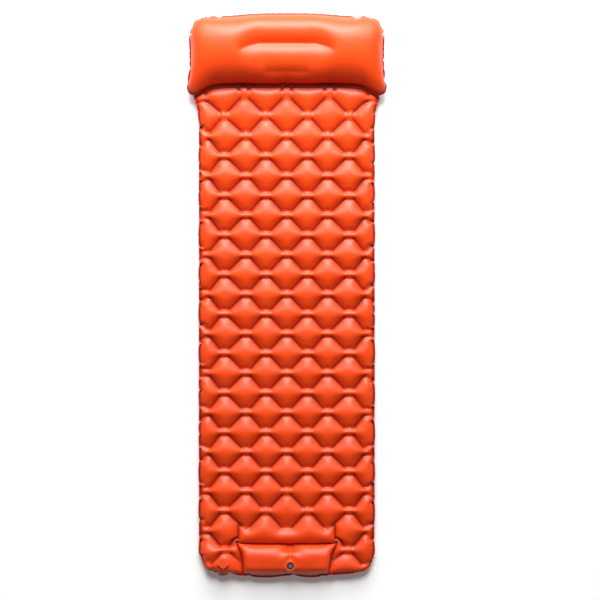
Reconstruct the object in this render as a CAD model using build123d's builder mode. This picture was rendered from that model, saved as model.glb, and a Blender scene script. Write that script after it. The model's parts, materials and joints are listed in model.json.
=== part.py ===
from build123d import *
import os

# Inflatable sleeping mat with a built-in pillow at its head and a foot pump at its foot.
# Millimetres. Origin on the ground under the middle of the object, +Y towards the head, +Z up.

# Overall sizes of the inflated mat
LENGTH = 1900.0
MAT_WIDTH = 590.0
MAT_HEIGHT = 52.0
PILLOW_WIDTH = 676.0
PILLOW_HEIGHT = 122.0
PILLOW_DEPTH = 266.0

# Coated fabric, drawn thicker than the real 0.3 mm so that each panel is a sound shell
FILM = 2.5
LINER = 2.0
SEAM_WIDTH = 5.0
SEAM_THICKNESS = 1.5
WELD_GAP = 0.3

# Mat body
HEAD_Y = LENGTH / 2
FOOT_Y = -LENGTH / 2
NECK_Y = HEAD_Y - PILLOW_DEPTH
MAT_SEAM_Z = MAT_HEIGHT / 2
MAT_TOP_ROUND = 20.0
MAT_BOTTOM_ROUND = 12.0
FOOT_CORNER = 60.0

# Pillow
PILLOW_SEAM_Z = 54.0
PILLOW_CORNER = 40.0
PILLOW_TOP_ROUND = 50.0
PILLOW_BOTTOM_ROUND = 34.0
TIE_THICKNESS = 2.0
# Each crease across the pillow: its place from the head end, length, depth and radius
CREASES = {
    "head": {"from_head": 107.0, "length": 240.0, "depth": 32.0, "radius": 28.0},
    "neck": {"from_head": 198.0, "length": 200.0, "depth": 9.0, "radius": 16.0},
}

# Foot pump
BAY_WIDTH = 320.0
BAY_DEPTH = 112.0
BAY_CORNER = 12.0
LINER_GAP = 2.5
LINER_HEAD_GAP = 14.0
LINER_FOOT_GAP = 1.5
PUMP_HEIGHT = 60.0
COVER_GAP = 2.5
COVER_RIM_Z = 34.0
COVER_ROUND = 8.0
FOAM_GAP = 4.0
FOAM_CORNER = 9.0
FOAM_TOP_Z = 50.0
FOAM_POCKET_RADIUS = 16.0
FOAM_POCKET_Z = 32.0

# Check valves: a seat with spokes, a soft disc under it and the pin that holds the disc
SEAT_THICKNESS = 2.0
SPOKE_WIDTH = 1.8
SPOKE_COUNT = 6
SPOKE_OVERLAP = 1.0
BOSS_HEIGHT = 1.0
PIN_HEAD = 1.2
DISC_THICKNESS = 1.0
DISC_GAP = 0.1
DISC_BORE_GAP = 0.08
# Radii of a check valve's parts as shares of its seat's radius
BOSS_SHARE = 0.4
PIN_HEAD_SHARE = 0.45
KEEPER_SHARE = 0.34
DISC_SHARE = 0.92
OPENING_SHARE = 0.84
HUB_SHARE = 0.48
INTAKE = {"radius": 13.3, "pin": 2.5, "lift": 3.0}
TRANSFER = {"radius": 7.2, "pin": 1.5, "lift": 2.0}
INFLATE = {"radius": 8.2, "pin": 1.6, "lift": 2.0}

# Intake valve on top of the pump
INTAKE_X = 12.0
INTAKE_Y = -911.0
INTAKE_FLANGE_RADIUS = 18.0
INTAKE_BEAD_RADIUS = 15.6
INTAKE_NECK_RADIUS = 14.9
INTAKE_SINK = 0.5
FLANGE_THICKNESS = 1.0
BEAD_HEIGHT = 1.4

# Transfer valve between the pump and the mat
TRANSFER_X = -60.0
TRANSFER_Z = 22.0
TRANSFER_PROUD = 0.8
TRANSFER_FLANGE_RADIUS = 10.5
TRANSFER_NECK_RADIUS = 8.4

# Inflation valve in the foot corner
VALVE_X = -214.0
VALVE_Y = -906.0
VALVE_FLANGE_RADIUS = 21.0
VALVE_RING_RADIUS = 16.0
VALVE_RING_HEIGHT = 4.0
VALVE_BORE_RADIUS = 13.0
VALVE_NECK_RADIUS = 14.9
LID_GAP = 0.3
INSERT_RIM_RADIUS = 15.5
INSERT_RIM_THICKNESS = 1.6
INSERT_BODY_RADIUS = 12.4
INSERT_BODY_DEPTH = 3.7
INSERT_STEM_RADIUS = 10.8
INSERT_STEM_DEPTH = 4.0
PORT_RADIUS = 9.0
PORT_DEPTH = 6.0
COLLAR_RADIUS = 10.0
COLLAR_HEIGHT = 1.2
CAP_RADIUS = 13.2
CAP_THICKNESS = 1.8
SKIRT_RADIUS = 12.0
SKIRT_BORE_RADIUS = 10.6
KNUCKLE_RADIUS = 0.8
STRAP_WIDTH = 8.0
STRAP_THICKNESS = 0.8
INSERT_HINGE_OFFSET = 18.0
CAP_HINGE_OFFSET = 17.0
LUG_REACH = 2.0
CAP_LUG_GAP = 1.2
LUG_WIDTH = 10.0
TAB_WIDTH = 8.0
TAB_REACH = 4.5

# Blocks and cylinders that stand on the point they are placed at
UPWARD = (Align.CENTER, Align.CENTER, Align.MIN)


def keep(piece, name):
    """Label a finished piece and write it to its own STEP file."""
    piece.label = name
    export_step(piece, f"parts/{name}.step")


def bottom_face(builder):
    """The lowest face of the piece being built."""
    return builder.faces().sort_by(Axis.Z)[0]


def top_face(builder):
    """The highest face of the piece being built."""
    return builder.faces().sort_by(Axis.Z)[-1]


# ---------------------------------------------------------------- mat panels
MAT_LENGTH = NECK_Y - FOOT_Y
MAT_MIDDLE_Y = (NECK_Y + FOOT_Y) / 2
BAY_HEAD_Y = FOOT_Y + BAY_DEPTH


def mat_plan(inset, with_bay):
    """The mat's outline, drawn in from its edge, with round foot corners and the pump's bay cut out."""
    with BuildSketch() as plan:
        with Locations((0, MAT_MIDDLE_Y + inset / 2)):
            Rectangle(MAT_WIDTH - 2 * inset, MAT_LENGTH - inset)
        foot_corners = plan.vertices().group_by(Axis.Y)[0]
        fillet(foot_corners, FOOT_CORNER - inset)
        if with_bay:
            with Locations((0, BAY_HEAD_Y)):
                Rectangle(BAY_WIDTH, 2 * BAY_DEPTH, align=(Align.CENTER, Align.MAX), mode=Mode.SUBTRACT)
            bay_corners = [v for v in plan.vertices() if abs(v.Y - BAY_HEAD_Y) < 1]
            fillet(bay_corners, BAY_CORNER)
    return plan.sketch


def seam_band(z, with_bay):
    """The flat welded edge of one mat panel, outside its crowned part."""
    with BuildPart() as band:
        with BuildSketch(Plane.XY.offset(z)):
            add(mat_plan(0, with_bay))
            add(mat_plan(SEAM_WIDTH + FILM / 2, False), mode=Mode.SUBTRACT)
        extrude(amount=SEAM_THICKNESS)
    return band.part


def build_mat_upper_panel():
    with BuildPart() as panel:
        with BuildSketch(Plane.XY.offset(MAT_SEAM_Z)):
            add(mat_plan(SEAM_WIDTH, True))
        extrude(amount=MAT_HEIGHT - MAT_SEAM_Z)
        fillet(top_face(panel).edges(), MAT_TOP_ROUND)
        offset(amount=-FILM, openings=bottom_face(panel))
        with Locations((VALVE_X, VALVE_Y, MAT_HEIGHT)):
            Hole(VALVE_NECK_RADIUS, depth=2 * FILM)
        add(seam_band(MAT_SEAM_Z, True))
    keep(panel.part, "mat_upper_panel")


def build_mat_lower_panel():
    with BuildPart() as panel:
        with BuildSketch(Plane.XY):
            add(mat_plan(SEAM_WIDTH, False))
        extrude(amount=MAT_SEAM_Z)
        fillet(bottom_face(panel).edges(), MAT_BOTTOM_ROUND)
        offset(amount=-FILM, openings=top_face(panel))
        add(seam_band(MAT_SEAM_Z - SEAM_THICKNESS, False))
    keep(panel.part, "mat_lower_panel")


# ---------------------------------------------------------------- pillow
PILLOW_NECK_Y = NECK_Y + WELD_GAP
PILLOW_MIDDLE_Y = (HEAD_Y + PILLOW_NECK_Y) / 2


def pillow_plan(inset):
    """The pillow's outline, drawn in from its edge on every side."""
    with BuildSketch() as plan:
        with Locations((0, PILLOW_MIDDLE_Y)):
            RectangleRounded(
                PILLOW_WIDTH - 2 * inset,
                HEAD_Y - PILLOW_NECK_Y - 2 * inset,
                PILLOW_CORNER - inset,
            )
    return plan.sketch


def crease_line(crease):
    """The y of a crease and the z of the axis of the round that makes it."""
    return HEAD_Y - crease["from_head"], PILLOW_HEIGHT - crease["depth"] + crease["radius"]


def pillow_top_form(inset):
    """The crowned top half of the pillow as a solid, creased across the middle."""
    with BuildPart() as form:
        with BuildSketch(Plane.XY.offset(PILLOW_SEAM_Z)):
            add(pillow_plan(SEAM_WIDTH + inset))
        extrude(amount=PILLOW_HEIGHT - PILLOW_SEAM_Z - inset)
        fillet(top_face(form).edges(), PILLOW_TOP_ROUND - inset)
        for crease in CREASES.values():
            y, axis_z = crease_line(crease)
            half = crease["length"] / 2
            with Locations((0, y, axis_z)):
                Cylinder(
                    crease["radius"] + inset,
                    crease["length"],
                    rotation=(0, 90, 0),
                    mode=Mode.SUBTRACT,
                )
            with Locations((-half, y, axis_z), (half, y, axis_z)):
                Sphere(crease["radius"] + inset, mode=Mode.SUBTRACT)
    return form.part


def pillow_seam(z):
    """The flat welded edge of one pillow panel."""
    with BuildPart() as band:
        with BuildSketch(Plane.XY.offset(z)):
            add(pillow_plan(0))
            add(pillow_plan(SEAM_WIDTH + FILM / 2), mode=Mode.SUBTRACT)
        extrude(amount=SEAM_THICKNESS)
    return band.part


def build_pillow_upper_panel():
    with BuildPart() as panel:
        add(pillow_top_form(0))
        add(pillow_top_form(FILM), mode=Mode.SUBTRACT)
        add(pillow_seam(PILLOW_SEAM_Z))
    keep(panel.part, "pillow_upper_panel")


def build_pillow_lower_panel():
    with BuildPart() as panel:
        with BuildSketch(Plane.XY):
            add(pillow_plan(SEAM_WIDTH))
        extrude(amount=PILLOW_SEAM_Z)
        fillet(bottom_face(panel).edges(), PILLOW_BOTTOM_ROUND)
        offset(amount=-FILM, openings=top_face(panel))
        add(pillow_seam(PILLOW_SEAM_Z - SEAM_THICKNESS))
    keep(panel.part, "pillow_lower_panel")


def build_tie_strip(name, crease):
    """An upright strip inside the pillow that holds one crease down."""
    y, _ = crease_line(crease)
    with BuildPart() as strip:
        with Locations((0, y, FILM)):
            Box(
                crease["length"],
                TIE_THICKNESS,
                PILLOW_HEIGHT - crease["depth"] - 2 * FILM,
                align=UPWARD,
            )
    keep(strip.part, name)


# ---------------------------------------------------------------- foot pump
LINER_HEAD_Y = BAY_HEAD_Y - LINER_HEAD_GAP
LINER_FOOT_Y = FOOT_Y + SEAM_WIDTH + FILM + LINER_FOOT_GAP
LINER_BASE_Z = FILM + WELD_GAP
LINER_LENGTH = LINER_HEAD_Y - LINER_FOOT_Y
LINER_MIDDLE_Y = (LINER_HEAD_Y + LINER_FOOT_Y) / 2
LINER_WIDTH = BAY_WIDTH - 2 * LINER_GAP
COVER_HEAD_Y = LINER_HEAD_Y - LINER - COVER_GAP
COVER_FOOT_Y = LINER_FOOT_Y + LINER + COVER_GAP
COVER_WIDTH = LINER_WIDTH - 2 * LINER - 2 * COVER_GAP
COVER_LENGTH = COVER_HEAD_Y - COVER_FOOT_Y
COVER_MIDDLE_Y = (COVER_HEAD_Y + COVER_FOOT_Y) / 2


def build_pump_liner():
    """The inner film tray that keeps the pump's air apart from the mat's."""
    with BuildPart() as liner:
        with BuildSketch(Plane.XY.offset(LINER_BASE_Z)):
            with Locations((0, LINER_MIDDLE_Y)):
                RectangleRounded(LINER_WIDTH, LINER_LENGTH, BAY_CORNER)
        extrude(amount=COVER_RIM_Z - LINER_BASE_Z)
        fillet(bottom_face(liner).edges(), MAT_BOTTOM_ROUND - 1)
        offset(amount=-LINER, openings=top_face(liner))
        with BuildSketch(Plane.XZ.offset(-LINER_HEAD_Y)):
            with Locations((TRANSFER_X, TRANSFER_Z)):
                Circle(TRANSFER_NECK_RADIUS)
        extrude(amount=2 * LINER, mode=Mode.SUBTRACT)
    keep(liner.part, "pump_liner")


def build_pump_cover():
    """The crowned panel that the foot presses, with the intake valve's hole."""
    with BuildPart() as cover:
        with BuildSketch(Plane.XY.offset(COVER_RIM_Z)):
            with Locations((0, COVER_MIDDLE_Y)):
                RectangleRounded(COVER_WIDTH, COVER_LENGTH, BAY_CORNER)
        extrude(amount=PUMP_HEIGHT - COVER_RIM_Z)
        fillet(top_face(cover).edges(), COVER_ROUND)
        offset(amount=-FILM, openings=bottom_face(cover))
        with Locations((INTAKE_X, INTAKE_Y, PUMP_HEIGHT)):
            Hole(INTAKE_NECK_RADIUS, depth=2 * FILM)
    keep(cover.part, "pump_cover")


def build_pump_foam():
    """The springy open-cell block that lifts the cover again, with a pocket under the intake."""
    base_z = LINER_BASE_Z + LINER
    with BuildPart() as foam:
        with Locations((0, COVER_MIDDLE_Y, base_z)):
            Box(
                COVER_WIDTH - 2 * FILM - 2 * FOAM_GAP,
                COVER_LENGTH - 2 * FILM - 2 * FOAM_GAP,
                FOAM_TOP_Z - base_z,
                align=UPWARD,
            )
        fillet(foam.edges().filter_by(Axis.Z), FOAM_CORNER)
        chamfer(bottom_face(foam).edges(), FOAM_GAP)
        with Locations((INTAKE_X, INTAKE_Y, FOAM_TOP_Z)):
            Hole(FOAM_POCKET_RADIUS, depth=FOAM_TOP_Z - FOAM_POCKET_Z)
    keep(foam.part, "pump_foam")


# ---------------------------------------------------------------- check valves
def build_check_valve(name, seat_plane, radius, pin, lift):
    """A check valve whose seat has its top face on seat_plane, and which opens against the plane's normal."""
    spoke_length = (OPENING_SHARE - HUB_SHARE) * radius + SPOKE_OVERLAP
    spoke_middle = (OPENING_SHARE + HUB_SHARE) / 2 * radius
    disc_top = -SEAT_THICKNESS - DISC_GAP
    keeper_top = disc_top - DISC_THICKNESS - lift - DISC_GAP

    with BuildPart() as seat:
        with BuildSketch(seat_plane.offset(-SEAT_THICKNESS)):
            Circle(radius)
            Circle(OPENING_SHARE * radius, mode=Mode.SUBTRACT)
            Circle(HUB_SHARE * radius)
            with PolarLocations(spoke_middle, SPOKE_COUNT):
                Rectangle(spoke_length, SPOKE_WIDTH)
        extrude(amount=SEAT_THICKNESS)
        with BuildSketch(seat_plane):
            Circle(BOSS_SHARE * radius)
        extrude(amount=BOSS_HEIGHT)
        with BuildSketch(seat_plane.offset(-SEAT_THICKNESS)):
            Circle(pin)
        extrude(amount=SEAT_THICKNESS + BOSS_HEIGHT, mode=Mode.SUBTRACT)
    keep(seat.part, f"{name}_seat")

    with BuildPart() as stem:
        with BuildSketch(seat_plane.offset(BOSS_HEIGHT)):
            Circle(PIN_HEAD_SHARE * radius)
        extrude(amount=PIN_HEAD)
        head_rim = stem.faces().sort_by(Axis(seat_plane.origin, seat_plane.z_dir))[-1]
        fillet(head_rim.edges(), PIN_HEAD / 2)
        with BuildSketch(seat_plane.offset(keeper_top)):
            Circle(pin)
        extrude(amount=BOSS_HEIGHT - keeper_top)
        with BuildSketch(seat_plane.offset(keeper_top - PIN_HEAD)):
            Circle(KEEPER_SHARE * radius)
        extrude(amount=PIN_HEAD)
    keep(stem.part, f"{name}_pin")

    with BuildPart() as disc:
        with BuildSketch(seat_plane.offset(disc_top - DISC_THICKNESS)):
            Circle(DISC_SHARE * radius)
            Circle(pin + DISC_BORE_GAP, mode=Mode.SUBTRACT)
        extrude(amount=DISC_THICKNESS)
    keep(disc.part, f"{name}_disc")


def build_intake_flange():
    """The welded ring round the pump's air hole, with a raised bead to cover with the heel."""
    with BuildPart() as flange:
        with BuildSketch(Plane.XY.offset(PUMP_HEIGHT)):
            with Locations((INTAKE_X, INTAKE_Y)):
                Circle(INTAKE_FLANGE_RADIUS)
        extrude(amount=FLANGE_THICKNESS)
        with BuildSketch(Plane.XY.offset(PUMP_HEIGHT - FILM - SEAM_THICKNESS)):
            with Locations((INTAKE_X, INTAKE_Y)):
                Circle(INTAKE_NECK_RADIUS)
        extrude(amount=FILM + SEAM_THICKNESS)
        with BuildSketch(Plane.XY.offset(PUMP_HEIGHT + FLANGE_THICKNESS)):
            with Locations((INTAKE_X, INTAKE_Y)):
                Circle(INTAKE_BEAD_RADIUS)
        extrude(amount=BEAD_HEIGHT)
        fillet(top_face(flange).edges(), BEAD_HEIGHT / 2)
        with Locations((INTAKE_X, INTAKE_Y, PUMP_HEIGHT + FLANGE_THICKNESS + BEAD_HEIGHT)):
            Hole(INTAKE["radius"])
    keep(flange.part, "intake_flange")


def build_transfer_flange():
    """The ring that holds the transfer valve in the liner's head wall."""
    wall = Plane.XZ.offset(-LINER_HEAD_Y)
    with BuildPart() as flange:
        with BuildSketch(wall.offset(-FLANGE_THICKNESS)):
            with Locations((TRANSFER_X, TRANSFER_Z)):
                Circle(TRANSFER_FLANGE_RADIUS)
        extrude(amount=FLANGE_THICKNESS)
        with BuildSketch(wall.offset(-2 * FLANGE_THICKNESS)):
            with Locations((TRANSFER_X, TRANSFER_Z)):
                Circle(TRANSFER_NECK_RADIUS)
        extrude(amount=2 * FLANGE_THICKNESS + LINER)
        with BuildSketch(wall.offset(-2 * FLANGE_THICKNESS)):
            with Locations((TRANSFER_X, TRANSFER_Z)):
                Circle(TRANSFER["radius"])
        extrude(amount=2 * FLANGE_THICKNESS + LINER, mode=Mode.SUBTRACT)
    keep(flange.part, "transfer_flange")


# ---------------------------------------------------------------- inflation valve
RING_TOP_Z = MAT_HEIGHT + VALVE_RING_HEIGHT
RIM_BASE_Z = RING_TOP_Z + LID_GAP
RIM_TOP_Z = RIM_BASE_Z + INSERT_RIM_THICKNESS
COLLAR_TOP_Z = RIM_TOP_Z + COLLAR_HEIGHT
SKIRT_BASE_Z = RIM_TOP_Z + LID_GAP
CAP_BASE_Z = COLLAR_TOP_Z + LID_GAP
INSERT_HINGE_Z = RIM_BASE_Z + KNUCKLE_RADIUS
CAP_HINGE_Z = CAP_BASE_Z + KNUCKLE_RADIUS
BODY_BASE_Z = RIM_BASE_Z - INSERT_BODY_DEPTH
STEM_BASE_Z = BODY_BASE_Z - INSERT_STEM_DEPTH


def on_valve(z, offset_x=0.0, offset_y=0.0):
    """A place at height z on the inflation valve's axis, or beside it."""
    return Locations((VALVE_X + offset_x, VALVE_Y + offset_y, z))


def build_valve_base():
    """The welded flange and ring, with the lug that the insert's strap turns over."""
    lug_end = -INSERT_HINGE_OFFSET - LUG_REACH
    lug_length = -VALVE_BORE_RADIUS - 1 - lug_end
    with BuildPart() as base:
        with on_valve(MAT_HEIGHT):
            Cylinder(VALVE_FLANGE_RADIUS, FLANGE_THICKNESS, align=UPWARD)
            Cylinder(VALVE_RING_RADIUS, VALVE_RING_HEIGHT, align=UPWARD)
        with on_valve(MAT_HEIGHT - FILM - SEAM_THICKNESS):
            Cylinder(VALVE_NECK_RADIUS, FILM + SEAM_THICKNESS, align=UPWARD)
        with on_valve(MAT_HEIGHT, lug_end + lug_length / 2):
            Box(lug_length, LUG_WIDTH, VALVE_RING_HEIGHT, align=UPWARD)
        with on_valve(RING_TOP_Z):
            Hole(VALVE_BORE_RADIUS)
    keep(base.part, "valve_base")


def build_valve_insert():
    """The stopper that carries the inflating port, with a pull tab and the cap's lug."""
    lug_end = CAP_HINGE_OFFSET + LUG_REACH
    lug_length = lug_end - SKIRT_RADIUS - CAP_LUG_GAP
    tab_end = INSERT_RIM_RADIUS + TAB_REACH
    tab_length = tab_end - PORT_RADIUS - 1
    with BuildPart() as insert:
        with on_valve(RIM_BASE_Z):
            Cylinder(INSERT_RIM_RADIUS, INSERT_RIM_THICKNESS, align=UPWARD)
        with on_valve(RIM_TOP_Z):
            Cylinder(COLLAR_RADIUS, COLLAR_HEIGHT, align=UPWARD)
        with on_valve(RIM_BASE_Z, lug_end - lug_length / 2):
            Box(lug_length, LUG_WIDTH, COLLAR_TOP_Z - RIM_BASE_Z, align=UPWARD)
        with on_valve(RIM_BASE_Z, 0, tab_length / 2 - tab_end):
            Box(TAB_WIDTH, tab_length, INSERT_RIM_THICKNESS, align=UPWARD)
        with on_valve(BODY_BASE_Z):
            Cylinder(INSERT_BODY_RADIUS, INSERT_BODY_DEPTH, align=UPWARD)
        with on_valve(STEM_BASE_Z):
            Cylinder(INSERT_STEM_RADIUS, INSERT_STEM_DEPTH, align=UPWARD)
        with on_valve(COLLAR_TOP_Z):
            CounterBoreHole(INFLATE["radius"], PORT_RADIUS, PORT_DEPTH)
    keep(insert.part, "valve_insert")


def build_valve_cap():
    """The cap over the port, with a skirt that goes round the port's collar and a grip tab."""
    tab_length = TAB_REACH + CAP_RADIUS - SKIRT_BORE_RADIUS
    with BuildPart() as cap:
        with on_valve(CAP_BASE_Z):
            Cylinder(CAP_RADIUS, CAP_THICKNESS, align=UPWARD)
        with on_valve(CAP_BASE_Z, tab_length / 2 - CAP_RADIUS - TAB_REACH):
            Box(tab_length, TAB_WIDTH, CAP_THICKNESS, align=UPWARD)
        with on_valve(SKIRT_BASE_Z):
            Cylinder(SKIRT_RADIUS, CAP_BASE_Z - SKIRT_BASE_Z, align=UPWARD)
            Cylinder(SKIRT_BORE_RADIUS, CAP_BASE_Z - SKIRT_BASE_Z, align=UPWARD, mode=Mode.SUBTRACT)
    keep(cap.part, "valve_cap")


def build_tether(name, rim_radius, hinge_offset, hinge_z, side):
    """A flat strap from a lid's rim to the round root that it turns on, on the -X or +X side."""
    root = Plane(
        origin=(VALVE_X + side * hinge_offset, VALVE_Y, hinge_z),
        x_dir=(1, 0, 0),
        z_dir=(0, -1, 0),
    )
    strap_length = hinge_offset - rim_radius + STRAP_THICKNESS
    with BuildPart() as tether:
        with BuildSketch(root.offset(-STRAP_WIDTH / 2)):
            Circle(KNUCKLE_RADIUS)
            with Locations((-side * strap_length / 2, 0)):
                Rectangle(strap_length, STRAP_THICKNESS)
        extrude(amount=STRAP_WIDTH)
        # the rim is round, so the strap's end is cut to its curve
        with on_valve(hinge_z):
            Cylinder(rim_radius, 4 * KNUCKLE_RADIUS, mode=Mode.SUBTRACT)
    keep(tether.part, name)


# ---------------------------------------------------------------- write every piece
os.makedirs("parts", exist_ok=True)

build_mat_upper_panel()
build_mat_lower_panel()
build_pillow_upper_panel()
build_pillow_lower_panel()
for place, tied_crease in CREASES.items():
    build_tie_strip(f"tie_strip_{place}", tied_crease)
build_pump_liner()
build_pump_cover()
build_pump_foam()
build_intake_flange()
build_transfer_flange()
build_check_valve("intake", Plane((INTAKE_X, INTAKE_Y, PUMP_HEIGHT - INTAKE_SINK)), **INTAKE)
transfer_plane = Plane(
    origin=(TRANSFER_X, LINER_HEAD_Y - LINER + TRANSFER_PROUD, TRANSFER_Z),
    x_dir=(1, 0, 0),
    z_dir=(0, -1, 0),
)
build_check_valve("transfer", transfer_plane, **TRANSFER)
build_check_valve("valve", Plane((VALVE_X, VALVE_Y, STEM_BASE_Z + SEAT_THICKNESS)), **INFLATE)
build_valve_base()
build_valve_insert()
build_valve_cap()
build_tether("insert_tether", INSERT_RIM_RADIUS, INSERT_HINGE_OFFSET, INSERT_HINGE_Z, -1)
build_tether("cap_tether", CAP_RADIUS, CAP_HINGE_OFFSET, CAP_HINGE_Z, 1)
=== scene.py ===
import json
import math

import bpy
import numpy as np
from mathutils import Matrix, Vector


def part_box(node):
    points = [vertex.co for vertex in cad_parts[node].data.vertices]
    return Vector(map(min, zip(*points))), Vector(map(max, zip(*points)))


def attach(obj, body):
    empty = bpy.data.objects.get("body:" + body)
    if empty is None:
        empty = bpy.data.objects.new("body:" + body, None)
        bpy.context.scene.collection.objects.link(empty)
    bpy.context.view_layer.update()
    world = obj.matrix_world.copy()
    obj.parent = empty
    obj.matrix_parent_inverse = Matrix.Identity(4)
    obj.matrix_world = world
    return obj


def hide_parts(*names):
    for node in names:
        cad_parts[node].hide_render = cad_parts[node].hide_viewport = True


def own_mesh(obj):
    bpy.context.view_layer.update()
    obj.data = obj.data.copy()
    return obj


# The looks of an inflatable sleeping mat. Two flat sheets are drawn with their welds, then blown up
# by a small solver until the cloth is in balance, and the panels are made from the result.
# The solver works in millimetres, and the pieces are made in metres.

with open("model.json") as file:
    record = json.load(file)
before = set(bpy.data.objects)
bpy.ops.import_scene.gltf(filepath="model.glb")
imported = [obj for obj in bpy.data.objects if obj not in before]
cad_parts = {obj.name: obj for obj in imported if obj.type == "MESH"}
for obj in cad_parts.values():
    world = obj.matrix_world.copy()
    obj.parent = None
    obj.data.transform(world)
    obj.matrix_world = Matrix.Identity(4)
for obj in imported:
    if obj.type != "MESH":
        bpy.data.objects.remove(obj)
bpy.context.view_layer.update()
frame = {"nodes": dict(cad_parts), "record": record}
nodes = frame["nodes"]

# ---------------------------------------------------------------- the flat pattern
# The sheet is drawn on a grid, with a whole number of grid squares to each cell of the weld pattern.
# Row 0 is the head end of the first whole row of cells, rows count up towards the foot, and column
# 0 is the middle. Lengths whose names end in _CELLS are in cells, and the others in millimetres,
# unless they say otherwise. Sizes are of the flat sheet, unless they say otherwise.
CELL_WIDTH = 75.7              # a cell of the flat sheet, which shrinks as the sheet is blown up
CELL_LENGTH = 74.6
BLOWN_WIDTH = 69.5             # the same cell when blown up
BLOWN_LENGTH = 67.0
FIRST_ROW_Y = 677.0            # where row 0 lies on the finished mat
SEAM_Z = 28.0                  # height of the side seams of the finished mat
FLANGE = 5.0                   # seam outside the outermost weld

SIDE_CELLS = 4.223             # from the middle to the side seam, before SIDE_TRIM is added
SIDE_TRIM = -10.0
WHOLE_ROWS = 22                # rows of cells above the pump
WHOLE_COLS = 4                 # whole cells on each side of the middle
SCALLOP = 3.6                  # how far the side seam swings in and out, once in two rows of cells
MAT_CELLS = 24.222             # from row 0 to the foot seam
NECK_CELLS = 0.556             # from row 0 up to the pillow
NECK_BAND_CELLS = 0.222        # the wide weld between the mat and the pillow
SHOULDER_CELLS = 1.3           # where the mat starts to widen towards the neck
WELD_GAP_CELLS = 0.222         # left open at each end of a diagonal weld

PILLOW_CELLS = 3.78            # the pillow has as many grid rows as this many cells
PILLOW_DEPTH = 286.0           # from the neck to the head seam
PILLOW_WIDTH = 702.0           # at its two ends
PILLOW_DRAWN_IN = 0.945        # width of the pillow when blown up, as a share of the flat width
PILLOW_BULGE = 8.0             # how much its sides swell between its corners
NECK_WIDTH = 642.0             # where the mat meets the pillow
NECK_CORNER = 34.0             # rounding where the pillow narrows to the neck
NECK_DROOP = 26.0              # how far the ends of the neck weld curve towards the foot
NECK_DROOP_REACH = 60.0
HEAD_CORNER = 85.0
HEAD_ARCH = 26.0               # how far the head seam falls away towards its corners
HEAD_ARCH_REACH = 150.0

FOOT_CORNER = 75.0
FOOT_REACH = 120.0             # how far from the foot seam its shape is felt
FOOT_RISE = 16.0               # how far the seam curves towards the head at its corners
FOOT_RISE_FROM = 160.0
PUMP_SLOT_CELLS = 22.667       # the pump's weld across the mat
PUMP_SIDE_CELLS = 2.335        # its side welds
PUMP_RISE_CELLS = 0.9          # how far the side welds go past the slot
PUMP_LEAN = 14.0               # how far the side welds lean inward at the foot
PUMP_LEAN_REACH = 50.0
PUMP_REACH = 17.0              # spare cloth between the pump and the foot seam
PUMP_REACH_SIDE = 170.0
PUMP_FULLNESS = 0.07           # spare length of the pump's top cloth
VALVE_REACH = 15.0             # spare cloth between the inflation valve and the foot seam
VALVE_REACH_SIDE = 45.0

# Ties in the pillow: place from the head end as a share of its depth, height of the tie,
# half its width, and how far its ends turn towards the foot
TIES = {
    "tie_strip_head": (0.440, 70.0, 158.0, 20.0),
    "tie_strip_neck": (0.790, 78.0, 125.0, 4.0),
}
TIE_END = 75.0                 # the part at each end where a tie turns and grows taller
TIE_END_RISE = 32.0
TIE_SINK = 0.001               # in metres, how far a tie's strip ends inside each sheet

FOAM_ROUND = 14.0              # rounded edges of the foam inside the pump
FOAM_INSET = 6.0
FOAM_BASE_Z = 3.0
FOAM_BASE_ROUND = 0.4          # the lower edges, as a share of the upper ones
CREASE_DEPTH = 7.0             # the fold from the slot to the intake
CREASE_WIDTH = 5.0

MM = 0.001
FILM = 0.0003                  # in metres, from the middle of a weld to the outer face of the cloth
CLOTH_GAP = 0.3                # how far the cloth lies under the top of the CAD panel it stands for
VALVE_HOLE = 0.0135            # in metres, radius of the openings under the two valves
VALVE_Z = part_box("mat_upper_panel")[1].z / MM - CLOTH_GAP
PUMP_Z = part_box("pump_cover")[1].z / MM - CLOTH_GAP

# ---------------------------------------------------------------- the solver's settings
COARSE, FINE = 9, 18           # grid squares to a cell, first and last
COARSE_STEPS = 1200
FINE_STEPS = 380
STRETCH = 1500.0               # stiffness of the cloth between two grid points
SHEAR = 0.6                    # stiffness along the diagonals, as a share of STRETCH
SLACK = 0.05                   # share of the stiffness that the cloth keeps when it is shortened
PILLOW_EDGE_SLACK = 0.06       # the same along the pillow's seam, where it puckers
CRIMP_REACH = 110.0            # reach of the puckered edge from each head corner
CRIMP_FADE = 40.0
BEND = 16.0
HOLD = 0.3                     # stiffness that holds the cloth to a valve, as a share of STRETCH
PRESSURE = 0.4                 # of the air in the mat
PUMP_PRESSURE = 0.06
PILLOW_PRESSURE = 0.3
WEIGHT = 0.02                  # of the cloth at each grid point
FOAM_STIFFNESS = np.float32(30)
FIRST_GAP = 8.0                # how far each sheet starts from the seam's height
RIDGE = 3.5                    # a slight first ridge along the middle of each row of cells
ROUGH = 0.3                    # random unevenness of the first guess
PILLOW_LIFT = 26.0             # how much higher the pillow starts
PILLOW_DOME = 48.0
DRAG = 0.1
FIRST_STEP = 0.5 / math.sqrt(STRETCH)
LONGEST_STEP = 0.75 / math.sqrt(STRETCH)


def round_corner(x, y, half_width, end_y, towards, radius):
    """Bends the grid round a corner of the outline."""
    p = np.clip((np.abs(x) - (half_width - radius)) / radius, 0, 1)
    q = np.clip((towards * (y - end_y) + radius) / radius, 0, 1)
    near = (p > 0) & (q > 0)
    round_x = np.sign(x) * (half_width - radius + radius * p * np.sqrt(1 - q * q / 2))
    round_y = end_y + towards * (radius * q * np.sqrt(1 - p * p / 2) - radius)
    return np.where(near, round_x, x), np.where(near, round_y, y)


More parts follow.
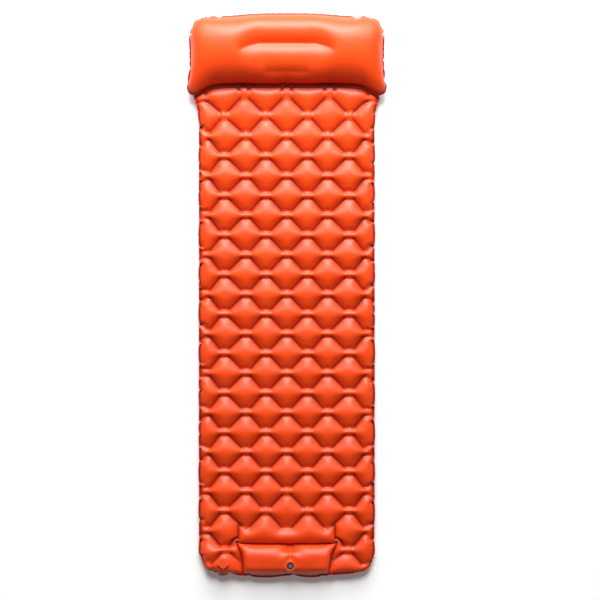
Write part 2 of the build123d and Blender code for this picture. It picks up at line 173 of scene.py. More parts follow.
def pillow_side(y, neck_y):
    """Half the pillow's width, which narrows to the neck with a rounded corner."""
    along = np.clip((y - neck_y) / PILLOW_DEPTH, 0, 1)
    corner = np.clip(1 - (y - neck_y) / NECK_CORNER, 0, 1)
    half_width = PILLOW_WIDTH / 2 + PILLOW_BULGE * 4 * along * (1 - along)
    return half_width - (PILLOW_WIDTH - NECK_WIDTH) / 2 * (1 - np.sqrt(1 - corner ** 2))


def shape_foot(x, y, foot_y, mat_half):
    """Curves the foot seam, leaves spare cloth at the pump and the valve, and leans the pump's sides."""
    near_foot = np.clip((foot_y + FOOT_REACH - y) / FOOT_REACH, 0, 1)
    outward = np.clip((np.abs(x) - FOOT_RISE_FROM) / (mat_half - FOOT_RISE_FROM), 0, 1) ** 2
    middle = np.clip(1 - (np.abs(x) / PUMP_REACH_SIDE) ** 4, 0, 1)
    low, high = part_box("valve_base")
    valve_x = 500 * (low.x + high.x) * CELL_WIDTH / BLOWN_WIDTH
    near_valve = np.exp(-((x - valve_x) / VALVE_REACH_SIDE) ** 2)
    y = y + near_foot * (FOOT_RISE * outward - PUMP_REACH * middle - VALVE_REACH * near_valve)

    slot_y = -PUMP_SLOT_CELLS * CELL_LENGTH
    below_slot = np.clip((slot_y - y) / (slot_y - foot_y), 0, 1)
    near_side = np.exp(-((np.abs(x) - PUMP_SIDE_CELLS * CELL_WIDTH) / PUMP_LEAN_REACH) ** 2)
    x = x - np.sign(x) * PUMP_LEAN * below_slot * near_side
    return np.stack([x, y])


class Pattern:
    """The two sheets drawn flat, with cell grid squares to each cell of the weld pattern."""

    def __init__(self, cell):
        self.cell = cell
        self.half = round(SIDE_CELLS * cell) + 1
        self.neck = -round(NECK_CELLS * cell)
        self.head = self.neck - round(PILLOW_CELLS * cell)
        self.band = self.neck + round(NECK_BAND_CELLS * cell)
        self.foot = round(MAT_CELLS * cell)
        self.slot = round(PUMP_SLOT_CELLS * cell)
        self.side = round(PUMP_SIDE_CELLS * cell)
        self.cols = np.arange(-self.half, self.half + 1)
        self.rows = np.arange(self.head - 1, self.foot + 2)
        self.col, self.row = np.meshgrid(self.cols, self.rows)
        self.flat = self.draw()
        self.welded = self.weld()
        col, row = self.col[:-1, :-1], self.row[:-1, :-1]
        self.in_pillow = row < self.neck
        self.in_pump = (row >= self.slot) & (col >= -self.side) & (col < self.side)
        self.in_mat = ~self.in_pillow & ~self.in_pump
        self.even = (col // cell + row // cell) % 2 == 0

    def index(self, row):
        """The place of a row in the arrays."""
        return row - int(self.rows[0])

    def draw(self):
        """Where each grid point lies on the flat sheet."""
        row_length = CELL_LENGTH / self.cell
        pillow_row = PILLOW_DEPTH / (self.neck - self.head)
        neck_y = -self.neck * row_length
        head_y = neck_y + PILLOW_DEPTH
        foot_y = -self.foot * row_length
        in_pillow = self.row < self.neck
        y = np.where(in_pillow, neck_y + (self.neck - self.row) * pillow_row, -self.row * row_length)
        y = np.where(self.row > self.foot, foot_y - FLANGE, y)
        y = np.where(self.row < self.head, head_y + FLANGE, y)

        mat_half = CELL_WIDTH * SIDE_CELLS + SIDE_TRIM
        half_width = np.where(in_pillow, pillow_side(y, neck_y), self.mat_side(y, neck_y, mat_half))
        across = np.abs(self.col) / (self.half - 1)
        x = np.sign(self.col) * np.where(across > 1, half_width + FLANGE, half_width * across)

        # the neck weld is straight up to 0.7 of the half width, and its ends curve
        outer = np.clip(across / 0.3 - 7 / 3, 0, 1)
        y = y - NECK_DROOP * outer ** 2 * np.exp(-((y - neck_y) / NECK_DROOP_REACH) ** 2)
        x, y = round_corner(x, y, mat_half + FLANGE, foot_y - FLANGE, -1, FOOT_CORNER)
        x, y = round_corner(x, y, PILLOW_WIDTH / 2 + FLANGE, head_y + FLANGE, 1, HEAD_CORNER)
        near_head = np.clip((y - head_y + HEAD_ARCH_REACH) / HEAD_ARCH_REACH, 0, 1)
        y = y - HEAD_ARCH * near_head * (2 * x / PILLOW_WIDTH) ** 2
        return shape_foot(x, y, foot_y, mat_half)

    def mat_side(self, y, neck_y, mat_half):
        """Half the mat's width, which swings with the rows and changes towards the neck."""
        shoulder_y = -SHOULDER_CELLS * CELL_LENGTH
        t = np.clip((y - shoulder_y) / (neck_y - shoulder_y), 0, 1)
        t = t * t * (3 - 2 * t)
        scallop = -SCALLOP * (1 - t) * np.cos(np.pi * self.row / self.cell)
        return mat_half + (NECK_WIDTH / 2 - mat_half) * t + scallop

    def weld(self):
        """True at every grid point where the two sheets are welded together."""
        cell, col, row = self.cell, self.col, self.row
        gap = round(WELD_GAP_CELLS * cell)
        across, along = col % cell, row % cell
        even = (col // cell + row // cell) % 2 == 0
        welded = (across == along) & even | (across == cell - along) & ~even
        welded &= (across >= gap) & (across <= cell - gap)
        welded &= ~((np.abs(col) <= self.side) & (row > WHOLE_ROWS * cell))
        welded &= (np.abs(col) < self.half - 2) & (row < self.foot - 1) & (row > self.band)
        welded |= (row == self.slot) & (np.abs(col) <= self.side)
        welded |= (np.abs(col) == self.side) & (row >= self.slot - PUMP_RISE_CELLS * cell)
        welded |= (np.abs(col) >= self.half - 1) | (row >= self.foot) | (row <= self.head)
        welded |= (row >= self.neck) & (row <= self.band)
        return welded

    def ties(self):
        """The grid rows and columns that each tie joins, and its height."""
        found = {}
        pillow_rows = self.neck - self.head
        for name, (share, height, half_width, turn) in TIES.items():
            row = self.index(self.neck) - round((1 - share) * pillow_rows)
            distance = np.abs(self.flat[0][row])
            cols = np.where(distance <= half_width)[0]
            end = np.clip((distance[cols] - half_width) / TIE_END + 1, 0, 1)
            rows = row + np.round(turn * end ** 2 * pillow_rows / PILLOW_DEPTH).astype(int)
            found[name] = (rows, cols, (height + TIE_END_RISE * end ** 2).astype(np.float32))
        return found

    def springs(self):
        """For each direction of the grid: its two ends, the flat lengths, and the stiffness each way."""
        head_y = self.flat[1].max()
        across = np.clip((np.abs(self.flat[0]) - PILLOW_WIDTH / 2 + CRIMP_REACH) / CRIMP_FADE, 0, 1)
        upward = np.clip((self.flat[1] - head_y + CRIMP_REACH) / CRIMP_FADE, 0, 1)
        crimped = PILLOW_EDGE_SLACK + (1 - PILLOW_EDGE_SLACK) * across * upward
        edge_slack = np.where(self.row < self.neck, crimped, 1.0)
        cushion = (self.row > self.slot) & (self.row < self.foot) & (np.abs(self.col) < self.side)
        every, start, end = slice(None), slice(None, -1), slice(1, None)
        directions = [
            ((every, start), (every, end), 1.0, 0.0),
            ((start, every), (end, every), 1.0, PUMP_FULLNESS),
            ((start, start), (end, end), SHEAR, PUMP_FULLNESS / 2),
            ((start, end), (end, start), SHEAR, PUMP_FULLNESS / 2),
        ]
        made = []
        for a, b, share, fullness in directions:
            step = self.flat[(every,) + b] - self.flat[(every,) + a]
            length = np.hypot(step[0], step[1])
            longer = length * (1 + fullness * (cushion[a] | cushion[b]))
            seam = self.welded[a] & self.welded[b]
            slack = np.where(seam, np.minimum(edge_slack[a], edge_slack[b]), SLACK)
            made.append((
                (every, every) + a,
                (every, every) + b,
                np.stack([longer, length]).astype(np.float32),
                np.float32(STRETCH * share),
                (STRETCH * share * slack).astype(np.float32),
            ))
        return made


# ---------------------------------------------------------------- blowing up
def first_guess(pattern):
    """Both sheets a little apart, drawn in to about their blown-up size."""
    flat, welded = pattern.flat, pattern.welded
    sheets = np.zeros((3, 2) + welded.shape, np.float32)
    neck_y = flat[1][pattern.index(pattern.neck), pattern.half]
    near_pillow = np.clip(1 - (neck_y - flat[1]) / (2 * CELL_LENGTH), 0, 1)
    drawn_in = BLOWN_WIDTH / CELL_WIDTH
    sheets[0] = flat[0] * (drawn_in + (PILLOW_DRAWN_IN - drawn_in) * near_pillow)
    sheets[1] = flat[1] * BLOWN_LENGTH / CELL_LENGTH + FIRST_ROW_Y
    rough = ROUGH * np.random.default_rng(7).standard_normal(welded.shape)
    apart = np.where(welded, 0, FIRST_GAP + RIDGE * np.cos(2 * np.pi * pattern.row / pattern.cell))
    sheets[2, 0] = SEAM_Z + rough + apart
    sheets[2, 1] = SEAM_Z + rough - apart
    along = np.clip((flat[1] - neck_y) / PILLOW_DEPTH, 0, 1)
    side = np.clip(6 - 12 * np.abs(flat[0]) / PILLOW_WIDTH, 0, 1)
    dome = PILLOW_DOME * np.sqrt(4 * along * (1 - along)) * np.sqrt(side) * ~welded
    sheets[2] += PILLOW_LIFT * np.clip(4 * along, 0, 1)
    sheets[2, 0] += dome
    sheets[2, 1] -= dome
    sheets[2] = np.maximum(sheets[2], 0)
    return sheets


def refine(sheets, coarse, fine):
    """The same sheets on a finer grid."""
    scale = coarse.cell / fine.cell
    cols = np.where(np.abs(fine.cols) < fine.half, fine.cols * scale, np.sign(fine.cols) * coarse.half)
    rows = np.clip(fine.rows * scale, coarse.head, coarse.foot)
    rows[0], rows[-1] = coarse.rows[0], coarse.rows[-1]
    cols, rows = cols - coarse.cols[0], rows - coarse.rows[0]
    left = np.minimum(cols.astype(int), len(coarse.cols) - 2)
    upper = np.minimum(rows.astype(int), len(coarse.rows) - 2)
    u = (cols - left).astype(np.float32)
    v = (rows - upper).astype(np.float32)[:, None]
    across = sheets[..., left] * (1 - u) + sheets[..., left + 1] * u
    finer = across[..., upper, :] * (1 - v) + across[..., upper + 1, :] * v
    finer[..., 1:-1, 1:-1] = (finer[..., :-2, 1:-1] + finer[..., 2:, 1:-1]) / 4 + (
        finer[..., 1:-1, :-2] + finer[..., 1:-1, 2:]) / 4
    middle = finer.mean(1, keepdims=True)
    return np.where(fine.welded, middle, finer)


def held_disc(pattern, sheets, node, z):
    """The grid points of the top sheet under a valve's flange, and where they are held."""
    low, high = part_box(node)
    centre = 500 * np.array([low.x + high.x, low.y + high.y])
    radius = 500 * (high.x - low.x)
    distance = np.hypot(sheets[0, 0] - centre[0], sheets[1, 0] - centre[1])
    nearest = np.unravel_index(np.argmin(distance), distance.shape)
    offset = pattern.flat - pattern.flat[:, nearest[0], nearest[1]][:, None, None]
    offset = offset + (sheets[:2, 0, nearest[0], nearest[1]] - centre)[:, None, None]
    rows, cols = np.where((np.hypot(offset[0], offset[1]) <= radius) & ~pattern.welded)
    target = np.stack([
        centre[0] + offset[0][rows, cols],
        centre[1] + offset[1][rows, cols],
        np.full(len(rows), z),
    ])
    return rows, cols, target.astype(np.float32)


def foam_faces(pattern, sheets):
    """The heights of the foam's two faces inside the pump, and the cloth points over them."""
    low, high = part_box("pump_cover")
    rows = slice(pattern.index(pattern.slot) + 1, pattern.index(pattern.foot))
    cols = slice(pattern.half - pattern.side + 1, pattern.half + pattern.side)
    x, y = sheets[:2, 0, rows, cols]
    edge = np.minimum(x - 1000 * low.x, 1000 * high.x - x)
    edge = np.minimum(edge, np.minimum(y - 1000 * low.y, 1000 * high.y - y)) - FOAM_INSET
    round_off = np.clip(1 - edge / FOAM_ROUND, 0, 1)
    edge_drop = FOAM_ROUND * (1 - np.sqrt(1 - round_off ** 2))
    low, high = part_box("intake_flange")
    fold = CREASE_DEPTH * np.exp(-((x - 500 * (low.x + high.x)) / CREASE_WIDTH) ** 2)
    fold = np.where(y > 1000 * high.y, fold, 0)
    upper = np.where(edge > 0, PUMP_Z - fold - edge_drop, 0)
    lower = np.where(edge > 0, FOAM_BASE_Z + FOAM_BASE_ROUND * edge_drop, 1000)
    stitched = np.where(fold > CREASE_DEPTH / 2, upper, 1000)
    return rows, cols, upper.astype(np.float32), lower.astype(np.float32), stitched.astype(np.float32)


def air_push(sheets, pressure, force):
    """Adds the air's push on every square to the force on its four corners."""
    start, end = slice(None, -1), slice(1, None)
    every = slice(None)
    down = sheets[every, every, end, end] - sheets[every, every, start, start]
    up = sheets[every, every, end, start] - sheets[every, every, start, end]
    for axis in range(3):
        i, j = (axis + 1) % 3, (axis + 2) % 3
        push = (up[i] * down[j] - up[j] * down[i]) * pressure
        for rows in (start, end):
            for cols in (start, end):
                force[axis, :, rows, cols] += push


def cloth_pull(sheets, springs, force):
    """Adds the pull of the cloth, which resists stretching and hardly resists shortening."""
    for a, b, length, stretched, shortened in springs:
        step = sheets[b] - sheets[a]
        now = np.sqrt(step[0] ** 2 + step[1] ** 2 + step[2] ** 2) + np.float32(1e-9)
        change = now - length
        step *= np.where(change > 0, stretched, shortened) * change / now
        force[a] += step
        force[b] -= step


def cloth_bend(sheets, stiffness, force):
    """Adds the cloth's resistance to bending along the rows and the columns."""
    curl = (sheets[..., :-2] - 2 * sheets[..., 1:-1] + sheets[..., 2:]) * stiffness[:, 1:-1]
    force[..., :-2] -= curl
    force[..., 1:-1] += 2 * curl
    force[..., 2:] -= curl
    curl = (sheets[..., :-2, :] - 2 * sheets[..., 1:-1, :] + sheets[..., 2:, :]) * stiffness[1:-1]
    force[..., :-2, :] -= curl
    force[..., 1:-1, :] += 2 * curl
    force[..., 2:, :] -= curl


def tie_pull(sheets, ties, force):
    """Adds the pull of the ties, which only stop the two sheets from moving further apart."""
    for rows, cols, height in ties:
        gap = sheets[:, 0, rows, cols] - sheets[:, 1, rows, cols]
        now = np.sqrt((gap * gap).sum(0))
        gap *= STRETCH * np.maximum(now - height, 0) / now
        force[:, 0, rows, cols] -= gap
        force[:, 1, rows, cols] += gap


def parts_push(pattern, sheets, discs, force):
    """Adds the hold of the valves' flanges and the push of the foam on the cloth round them."""
    for rows, cols, target in discs:
        force[:, 0, rows, cols] += np.float32(HOLD * STRETCH) * (target - sheets[:, 0, rows, cols])
    rows, cols, upper, lower, stitched = foam_faces(pattern, sheets)
    force[2, 0, rows, cols] += FOAM_STIFFNESS * np.maximum(upper - sheets[2, 0, rows, cols], 0)
    force[2, 0, rows, cols] -= FOAM_STIFFNESS * np.maximum(sheets[2, 0, rows, cols] - stitched, 0)
    force[2, 1, rows, cols] -= FOAM_STIFFNESS * np.maximum(sheets[2, 1, rows, cols] - lower, 0)


def air_pressure(pattern):
    """The pressure on each grid square, upward on the top sheet and downward on the bottom one."""
    pressure = np.full(pattern.in_mat.shape, PRESSURE, np.float32)
    pressure[pattern.in_pump] = PUMP_PRESSURE
    pressure[pattern.in_pillow] = PILLOW_PRESSURE
    return pressure / 8 * np.array([1, -1], np.float32)[:, None, None]


def blow_up(pattern, sheets, discs, steps):
    """Moves both sheets until the air, the cloth, the welds, the ties and the floor are in balance."""
    springs, ties, pressure = pattern.springs(), pattern.ties().values(), air_pressure(pattern)
    welded = pattern.welded.astype(np.float32)
    free = 1 - welded
    bend = free * np.float32(BEND * (pattern.cell / FINE) ** 2)
    first_row = pattern.index(0)
    speed = np.zeros_like(sheets)
    step, drag, good = FIRST_STEP, DRAG, 0
    for _ in range(steps):
        force = np.zeros_like(sheets)
        air_push(sheets, pressure, force)
        cloth_pull(sheets, springs, force)
        cloth_bend(sheets, bend, force)
        tie_pull(sheets, ties, force)
        parts_push(pattern, sheets, discs, force)
        force[2] -= np.float32(WEIGHT)
        shared = (force[:, 0] + force[:, 1]) * np.float32(0.5) * welded
        force *= free
        force += shared[:, None]

        # the speed turns towards the force, and stops when it goes against it
        if np.vdot(force, speed) > 0:
            turn = drag * math.sqrt(np.vdot(speed, speed) / np.vdot(force, force))
            speed *= np.float32(1 - drag)
            speed += np.float32(turn) * force
            good += 1
            if good > 5:
                step = min(step * 1.05, LONGEST_STEP)
                drag *= 0.99
        else:
            speed[:] = 0
            step, drag, good = max(step * 0.5, FIRST_STEP * 0.2), DRAG, 0
        speed += np.float32(step) * force
        sheets += np.float32(step) * speed

        # the mat is kept from drifting, and above the floor
        middle = sheets[:, 0, first_row, pattern.half].copy()
        sheets[0] -= np.float32(0.1) * middle[0]
        sheets[1] -= np.float32(0.1) * (middle[1] - np.float32(FIRST_ROW_Y))
        sunk = sheets[2] < 0
        sheets[2][sunk] = 0
        speed[2][sunk] = 0
    return sheets


def held_discs(pattern, sheets):
    """What held_disc gives for the inflation valve and for the pump's intake."""
    return [
        held_disc(pattern, sheets, "valve_base", VALVE_Z),
        held_disc(pattern, sheets, "intake_flange", PUMP_Z),
    ]


def fit_cells(pattern, sheets):
    """Draws the mat in evenly, so that its cells have the wanted size."""
    first, last = pattern.index(0), pattern.index(WHOLE_ROWS * pattern.cell)
    length = (sheets[1, 0, first, pattern.half] - sheets[1, 0, last, pattern.half]) / WHOLE_ROWS
    across = sheets[0, 0, pattern.index(10 * pattern.cell)]
    left, right = pattern.half - WHOLE_COLS * pattern.cell, pattern.half + WHOLE_COLS * pattern.cell
    width = (across[right] - across[left]) / (2 * WHOLE_COLS)
    below = np.minimum(sheets[1] - FIRST_ROW_Y, 0)
    sheets[1] += below * (BLOWN_LENGTH / length - 1)
    share = np.clip(-below / CELL_LENGTH, 0, 1)
    sheets[0] *= 1 + (BLOWN_WIDTH / width - 1) * share
    return sheets


def inflated(coarse, fine):
    """The blown-up sheets on the fine grid."""
    sheets = first_guess(coarse)
    sheets = blow_up(coarse, sheets, held_discs(coarse, sheets), COARSE_STEPS)
    sheets = refine(fit_cells(coarse, sheets), coarse, fine)
    return blow_up(fine, sheets, held_discs(fine, sheets), FINE_STEPS)


mat = Pattern(FINE)
sheets = inflated(Pattern(COARSE), mat)
points = sheets.transpose(1, 2, 3, 0).astype(float) * MM


# ---------------------------------------------------------------- meshes
def sheet_normals(p):
    """Unit normals of one sheet at its grid points, upward for a flat sheet."""
    n = np.cross(np.gradient(p, axis=0), np.gradient(p, axis=1))
    return n / np.maximum(np.linalg.norm(n, axis=2, keepdims=True), 1e-12)


def spread_out(mask, times):
    """A mask blurred over the grid, still 1 where it was 1."""
    value = mask.astype(float)
    for _ in range(times):
        padded = np.pad(value, 1, mode="edge")
        around = (padded[:-2, 1:-1] + padded[2:, 1:-1] + padded[1:-1, :-2] + padded[1:-1, 2:]) / 4
        value = np.maximum(mask, (value + around) / 2)
    return value


def link(mesh, name):
    piece = bpy.data.objects.new(name, mesh)
    bpy.context.scene.collection.objects.link(piece)
    return piece


def sheet_piece(name, p, squares, is_top):
    """A smooth piece of one sheet, made of the marked grid squares, each split along its weld."""
    rows, cols = np.where(squares)
    width = p.shape[1]
    a = rows * width + cols
    b, c, d = a + 1, a + width + 1, a + width
    even = mat.even[rows, cols][:, None]
    first = np.where(even, np.stack([a, c, b], 1), np.stack([a, d, b], 1))
    second = np.where(even, np.stack([a, d, c], 1), np.stack([b, d, c], 1))
    faces = np.concatenate([first, second])
    if not is_top:
        faces = faces[:, ::-1]
    used, faces = np.unique(faces, return_inverse=True)
    mesh = bpy.data.meshes.new(name)
    mesh.from_pydata(p.reshape(-1, 3)[used].tolist(), [], faces.reshape(-1, 3).tolist())
    mesh.shade_smooth()
    corners = np.zeros(len(mesh.loops), np.int32)
    mesh.loops.foreach_get("vertex_index", corners)
    flat = mat.flat.reshape(2, -1).T[used].astype(np.float32) * np.float32(MM)
    mesh.uv_layers.new(name="flat_cloth").data.foreach_set("uv", flat[corners].ravel())
    # the painted shade of the grooves, which the cloth's material reads to dim its colour
    groove_shade = mesh.attributes.new("groove_shade", "FLOAT", "POINT")
    groove_shade.data.foreach_set("value", GROOVE_SHADE.reshape(-1)[used].astype(np.float32))
    return link(mesh, name)


# painted shade: 1 on the welds, fading over about eight grid squares round them
GROOVE_SHADE = spread_out(mat.welded, 8)
top = points[0] + FILM * sheet_normals(points[0])
bottom = points[1] - FILM * sheet_normals(points[1])


# ---------------------------------------------------------------- materials
def new_material(name):
    material = bpy.data.materials.new(name)
    material.use_nodes = True
    tree = material.node_tree
    return material, tree, tree.nodes["Principled BSDF"]


def noise(tree, place, scale, detail, roughness=0.5):
    texture = tree.nodes.new("ShaderNodeTexNoise")
    texture.inputs["Scale"].default_value = scale
    texture.inputs["Detail"].default_value = detail
    texture.inputs["Roughness"].default_value = roughness
    tree.links.new(place, texture.inputs["Vector"])
    return texture.outputs["Fac"]


def two_tones(tree, share, first, second, start=0.0, end=1.0):
    """A colour that goes from the first to the second as share goes from start to end."""
    ramp = tree.nodes.new("ShaderNodeValToRGB")
    tones = ramp.color_ramp.elements
    tones[0].position, tones[0].color = start, (*first, 1)
    tones[1].position, tones[1].color = end, (*second, 1)
    tree.links.new(share, ramp.inputs["Fac"])
    return ramp.outputs["Color"]


def bump(tree, height, strength, distance):
    node = tree.nodes.new("ShaderNodeBump")
    node.inputs["Strength"].default_value = strength
    node.inputs["Distance"].default_value = distance
    tree.links.new(height, node.inputs["Height"])
    return node


def painted_groove_shade(tree, colour):
    """Painted shade: the colour, dimmed towards the welds, where little light gets in."""
    groove_shade = tree.nodes.new("ShaderNodeAttribute")
    groove_shade.attribute_name = "groove_shade"
    shade_amount = tree.nodes.new("ShaderNodeMath")
    shade_amount.operation = "MULTIPLY"
    shade_amount.use_clamp = True
    shade_amount.inputs[1].default_value = 1.5
    tree.links.new(groove_shade.outputs["Fac"], shade_amount.inputs[0])
    # the painted shade is at full strength where the spread weld mask reaches two thirds
    shaded = tree.nodes.new("ShaderNodeMix")
    shaded.data_type = "RGBA"
    tree.links.new(shade_amount.outputs["Value"], shaded.inputs["Factor"])
    tree.links.new(colour, shaded.inputs["A"])
    # the dark red that the painted shade goes to
    shaded.inputs["B"].default_value = (0.35, 0.014, 0.001, 1)
    return shaded.outputs["Result"]


def plain_weave(tree, place):
    """The height of a cloth's threads, which cross each other along the flat sheet's two axes."""
    woven = tree.nodes.new("ShaderNodeMath")
    woven.operation = "MAXIMUM"
    for number, direction in enumerate("XY"):
        wave = tree.nodes.new("ShaderNodeTexWave")
        wave.wave_type = "BANDS"
        wave.bands_direction = direction
        wave.inputs["Scale"].default_value = 450
        wave.inputs["Distortion"].default_value = 0.3
        tree.links.new(place, wave.inputs["Vector"])
        tree.links.new(wave.outputs["Fac"], woven.inputs[number])
    return woven.outputs["Value"]


def coated_cloth():
    """Finely woven nylon with a soft coating, a little uneven in colour and slightly wrinkled, with
    painted shade darkening it along the welds.
    """
    material, tree, shader = new_material("orange_coated_nylon")
    uv_map = tree.nodes.new("ShaderNodeUVMap")
    uv_map.uv_map = "flat_cloth"
    place = uv_map.outputs["UV"]
    tint = noise(tree, place, 9, 3)
    colour = two_tones(tree, tint, (0.88, 0.060, 0.004), (0.92, 0.070, 0.006), 0.3, 0.7)
    tree.links.new(painted_groove_shade(tree, colour), shader.inputs["Base Color"])
    threads = bump(tree, plain_weave(tree, place), 0.12, 0.0002)
    wrinkles = bump(tree, noise(tree, place, 70, 4, 0.6), 0.25, 0.002)
    tree.links.new(threads.outputs["Normal"], wrinkles.inputs["Normal"])
    tree.links.new(wrinkles.outputs["Normal"], shader.inputs["Normal"])
    shader.inputs["Roughness"].default_value = 0.42
    shader.inputs["Specular IOR Level"].default_value = 0.45
    return material


def moulded(name, colour, roughness, grain, sheen=0.0):
    """Moulded plastic, rubber or foam with a fine grain and slight unevenness of colour."""
    material, tree, shader = new_material(name)
    place = tree.nodes.new("ShaderNodeTexCoord").outputs["Object"]
    darker = [0.9 * c for c in colour]
    lighter = [min(1, 1.08 * c) for c in colour]
    tint = two_tones(tree, noise(tree, place, 60, 2), darker, lighter)
    tree.links.new(tint, shader.inputs["Base Color"])
    surface = bump(tree, noise(tree, place, grain, 3), 0.15, 0.0003)
    tree.links.new(surface.outputs["Normal"], shader.inputs["Normal"])
    shader.inputs["Roughness"].default_value = roughness
    shader.inputs["Sheen Weight"].default_value = sheen
    return material


finishes = {
    "orange_tpu": moulded("orange_soft_plastic", (0.85, 0.085, 0.016), 0.4, 900),
    "inner_film": moulded("milky_film", (0.75, 0.72, 0.66), 0.35, 400),
    "grey_foam": moulded("grey_foam", (0.28, 0.28, 0.29), 0.95, 1500, 0.2),
    "black_rubber": moulded("black_rubber", (0.02, 0.02, 0.02), 0.6, 1200),
    "grey_plastic": moulded("grey_plastic", (0.17, 0.13, 0.12), 0.38, 1000),
    "orange_fabric": coated_cloth(),
}

for part in frame["record"]["subparts"]:
    node = nodes[part["node"]]
    node.data.materials.clear()
    node.data.materials.append(finishes[part["material_slot"]])


# ---------------------------------------------------------------- pieces of the mat and the pillow
def dress(piece, body, slot, *replaced):
    """Gives a finished piece its material and its body, and hides the CAD nodes that it stands for."""
    piece.data.materials.append(finishes[slot])
    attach(piece, body)
    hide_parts(*replaced)


def plain_piece(name, vertices, faces):
    mesh = bpy.data.meshes.new(name)
    mesh.from_pydata([tuple(v) for v in vertices], [], [tuple(f) for f in faces])
    mesh.shade_smooth()
    return link(mesh, name)


def tie_piece(name, tie):
    """The strip inside the pillow that joins the two sheets along a crease."""
    rows, cols, _ = tie
    upper = points[0][rows, cols] - [0, 0, TIE_SINK]
    lower = points[1][rows, cols] + [0, 0, TIE_SINK]
    count = len(cols)
    faces = [(i, i + 1, count + i + 1, count + i) for i in range(count - 1)]
    piece = plain_piece(name, np.concatenate([upper, lower]), faces)
    thickness = piece.modifiers.new("thickness", "SOLIDIFY")
    thickness.thickness = 2 * FILM
    thickness.offset = 0
    return piece


def open_round(squares, node, radius):
    """The marked squares without those inside a valve's hole."""
    low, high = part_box(node)
    middle = points[0][:-1, :-1, :2] / 2 + points[0][1:, 1:, :2] / 2
    centre = [(low.x + high.x) / 2, (low.y + high.y) / 2]
    return squares & (np.hypot(*(middle - centre).transpose(2, 0, 1)) > radius)


def inner_block(name, inset, gap, node, is_open):
    """A form inside the pump's cloth, kept within a CAD node's box.

    Its edge is inset grid squares from the pump's welds, and gap metres from the two sheets. An
    open one is a tray without a top, cut off at the seam's height.
    """
    rows = np.where((mat.rows >= mat.slot + inset) & (mat.rows <= mat.foot - inset))[0]
    cols = np.where(np.abs(mat.cols) <= mat.side - inset)[0]
    part = points[:, rows[0]:rows[-1] + 1, cols[0]:cols[-1] + 1].copy()
    middle = part.mean(0)[..., 2]
    part[0, ..., 2] = np.maximum(part[0, ..., 2] - gap, middle + FILM)
    part[1, ..., 2] = np.minimum(part[1, ..., 2] + gap, middle - FILM)
    low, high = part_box(node)
    part = np.clip(part, low, high)
    if is_open:
        part[..., 2] = np.minimum(part[..., 2], SEAM_Z * MM - FILM)
    height, width = part.shape[1:3]
    upper, lower = np.arange(2 * height * width).reshape(2, height, width)
    faces = [] if is_open else quads(upper)
    faces += [f[::-1] for f in quads(lower)]
    rim = list(zip(*edge_loop(height, width)))
    for (r, c), (r2, c2) in zip(rim, rim[1:] + rim[:1]):
        faces.append((lower[r, c], lower[r2, c2], upper[r2, c2], upper[r, c]))
    return plain_piece(name, part.reshape(-1, 3), faces)


def quads(number):
    """The squares between numbered grid points, as faces that look up."""
    a, b = number[:-1, :-1].ravel(), number[:-1, 1:].ravel()
    c, d = number[1:, 1:].ravel(), number[1:, :-1].ravel()
    return [tuple(f) for f in np.stack([d, c, b, a], 1).tolist()]


def edge_loop(height, width):
    """Rows and columns of the points round the edge of a grid, in order."""
    top_row = [(0, c) for c in range(width)]
    right = [(r, width - 1) for r in range(1, height)]
    bottom_row = [(height - 1, c) for c in range(width - 2, -1, -1)]
    left = [(r, 0) for r in range(height - 2, 0, -1)]
    return zip(*(top_row + right + bottom_row + left))


mat_top = sheet_piece("mat_top_cloth", top, open_round(mat.in_mat, "valve_base", VALVE_HOLE), True)
dress(mat_top, "mat", "orange_fabric", "mat_upper_panel")
mat_base = sheet_piece("mat_base_cloth", bottom, mat.in_mat | mat.in_pump, False)
dress(mat_base, "mat", "orange_fabric", "mat_lower_panel")
pillow_top = sheet_piece("pillow_top_cloth", top, mat.in_pillow, True)
dress(pillow_top, "mat", "orange_fabric", "pillow_upper_panel")
pillow_base = sheet_piece("pillow_base_cloth", bottom, mat.in_pillow, False)
dress(pillow_base, "mat", "orange_fabric", "pillow_lower_panel")
for name, tie in mat.ties().items():
    dress(tie_piece(name + "_film", tie), "mat", "inner_film", name)

pump_squares = open_round(mat.in_pump, "intake_flange", VALVE_HOLE)
pump_top = sheet_piece("pump_cushion_cloth", top, pump_squares, True)
dress(pump_top, "mat", "orange_fabric", "pump_cover")
bladder = inner_block("pump_bladder_film", 2, 0.0012, "pump_liner", True)
dress(bladder, "mat", "inner_film", "pump_liner")
foam = inner_block("pump_foam_block", 4, 0.0035, "pump_foam", False)
dress(foam, "mat", "grey_foam", "pump_foam")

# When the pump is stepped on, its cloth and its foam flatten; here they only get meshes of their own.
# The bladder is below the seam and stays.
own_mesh(pump_top)
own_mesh(foam)

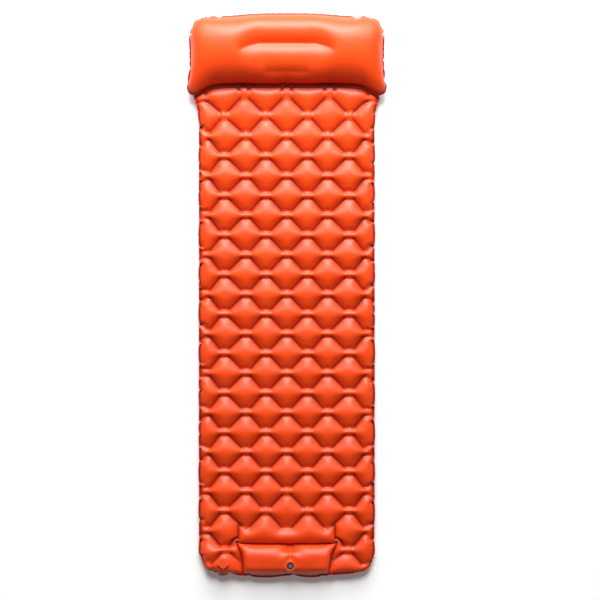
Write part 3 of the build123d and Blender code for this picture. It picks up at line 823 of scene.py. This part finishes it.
# ---------------------------------------------------------------- floor, lights and camera
floor_mesh = bpy.data.meshes.new("floor")
floor_mesh.from_pydata([(-6, -6, 0), (6, -6, 0), (6, 6, 0), (-6, 6, 0)], [], [(0, 1, 2, 3)])
floor = link(floor_mesh, "floor")
paper, _, paper_shader = new_material("pale_floor")
paper_shader.inputs["Base Color"].default_value = (0.97, 0.97, 0.97, 1)
paper_shader.inputs["Emission Color"].default_value = (1, 1, 1, 1)
paper_shader.inputs["Emission Strength"].default_value = 0.12
paper_shader.inputs["Roughness"].default_value = 0.9
floor_mesh.materials.append(paper)
floor.location.z = -0.001

world = bpy.data.worlds.new("studio")
bpy.context.scene.world = world
world.use_nodes = True
world.node_tree.nodes["Background"].inputs["Color"].default_value = (1, 1, 1, 1)
world.node_tree.nodes["Background"].inputs["Strength"].default_value = 0.07


def soft_light(name, place, target, size, power):
    lamp = bpy.data.lights.new(name, "AREA")
    lamp.shape = "RECTANGLE"
    lamp.size, lamp.size_y = size
    lamp.energy = power
    holder = bpy.data.objects.new(name, lamp)
    bpy.context.scene.collection.objects.link(holder)
    holder.location = place
    holder.rotation_euler = (Vector(target) - Vector(place)).to_track_quat("-Z", "Y").to_euler()


def wide_light(name, elevation, spread, strength):
    """A large far lamp above the head end."""
    lamp = bpy.data.lights.new(name, "SUN")
    lamp.angle = math.radians(spread)
    lamp.energy = strength
    holder = bpy.data.objects.new(name, lamp)
    bpy.context.scene.collection.objects.link(holder)
    tilt = math.radians(elevation)
    beam = -Vector((0, math.cos(tilt), math.sin(tilt)))
    holder.rotation_euler = beam.to_track_quat("-Z", "Y").to_euler()


wide_light("studio_light", 47, 28, 2.6)
soft_light("head_light", (0.0, 2.1, 1.2), (0, 0.3, 0), (2.6, 1.3), 90)
bpy.context.scene.view_settings.view_transform = "Standard"

camera_data = bpy.data.cameras.new("camera")
camera = bpy.data.objects.new("camera", camera_data)
bpy.context.scene.collection.objects.link(camera)
PICTURE_WIDTH = 2.029
CAMERA_HEIGHT = 12.0
camera_data.sensor_width = 36
camera_data.lens = 36 * CAMERA_HEIGHT / PICTURE_WIDTH
camera.location = (0.0446, -0.0153, CAMERA_HEIGHT)
bpy.context.scene.camera = camera
